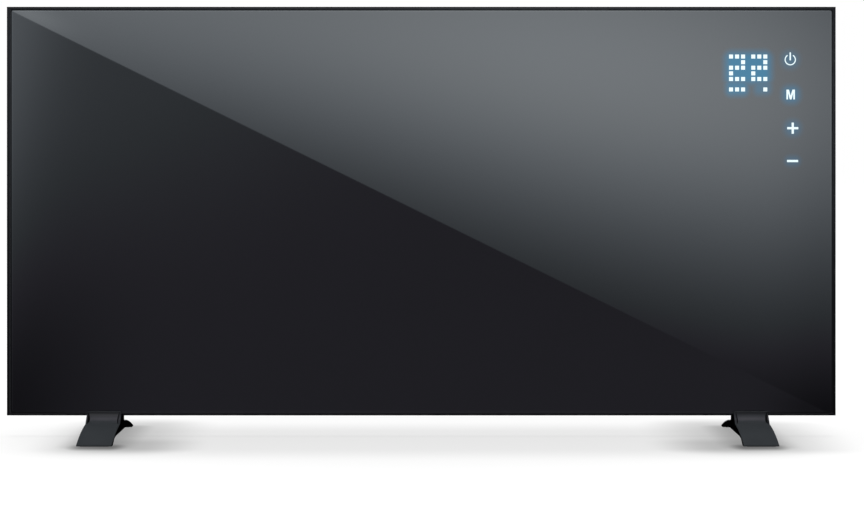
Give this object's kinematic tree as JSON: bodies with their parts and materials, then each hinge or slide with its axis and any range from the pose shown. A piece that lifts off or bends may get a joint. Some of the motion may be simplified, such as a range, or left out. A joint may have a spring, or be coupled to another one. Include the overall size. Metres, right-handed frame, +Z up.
{
  "type": "infrared panel heater",
  "caption": "Flat glass-fronted infrared panel heater on two arched feet, with a lit display and touch keys behind the glass and a control housing on its back.",
  "frame": {"origin": "on the floor, under the middle of the panel's width and depth", "axes": "+X along the panel towards the display side, +Y from the glass to the back, +Z up"},
  "size_m": [1, 0.2, 0.519],
  "materials": {
    "glass_black": "polished",
    "frame_anodised": "satin anodised",
    "back_steel": "fine texture powder coat",
    "foot_alloy": "satin powder coat",
    "black_rubber": "matt",
    "housing_plastic": "fine spark texture",
    "rocker_plastic": "gloss",
    "grey_plastic": "matt",
    "white_plastic": "satin",
    "lamp_resin": "gloss",
    "carbon_film": "matt",
    "copper": "bright",
    "brass": "bright",
    "foil": "bright",
    "mineral_board": "fibrous",
    "circuit_board": "solder mask",
    "zinc_steel": "zinc plated",
    "black_steel": "blackened",
    "brown_lead": "satin",
    "blue_lead": "satin",
    "earth_lead": "satin",
    "relay_case": "gloss",
    "fuse_glass": "polished"
  },
  "bodies": {
    "heater": {"frame_bottom": "frame_anodised", "frame_top": "frame_anodised", "frame_left": "frame_anodised", "frame_right": "frame_anodised", "corner_keys": "foil", "front_glass": "glass_black", "glass_gasket": "black_rubber", "heating_film": "carbon_film", "busbars": "copper", "reflector_foil": "foil", "insulation_board": "mineral_board", "thermal_cutouts": "zinc_steel", "back_cover": "back_steel", "cover_screws": "black_steel", "wire_grommet": "black_rubber", "wall_inserts": "zinc_steel", "control_housing": "housing_plastic", "housing_screws": "black_steel", "display_board": "circuit_board", "board_standoffs": "white_plastic", "lamp_block": "white_plastic", "lamp_chips": "lamp_resin", "touch_pads": "black_rubber", "power_board": "circuit_board", "board_screws": "zinc_steel", "relay": "relay_case", "supply_module": "housing_plastic", "tilt_switch": "white_plastic", "terminal_block": "grey_plastic", "fuse": "fuse_glass", "room_sensor": "white_plastic", "switch_body": "housing_plastic", "switch_blades": "brass", "gland_body": "housing_plastic", "gland_seal": "black_rubber", "gland_nut": "housing_plastic", "gland_locknut": "housing_plastic", "lead_busbar_left": "brown_lead", "lead_link": "brown_lead", "lead_live": "brown_lead", "lead_neutral": "blue_lead", "switch_leads": "brown_lead", "earth_lead": "earth_lead", "earth_screw": "brass", "sensor_lead": "white_plastic", "display_ribbon": "grey_plastic", "foot_left": "foot_alloy", "foot_right": "foot_alloy", "foot_pads": "black_rubber", "foot_screws": "black_steel"},
    "rocker": {"switch_rocker": "rocker_plastic"}
  },
  "joints": [
    {"name": "rocker_tilt", "type": "hinge", "parent": "heater", "child": "rocker", "pos_m": [0.4634, 0.028, 0.379], "axis": [0, 1, 0], "range_deg": [0, 22]}
  ]
}
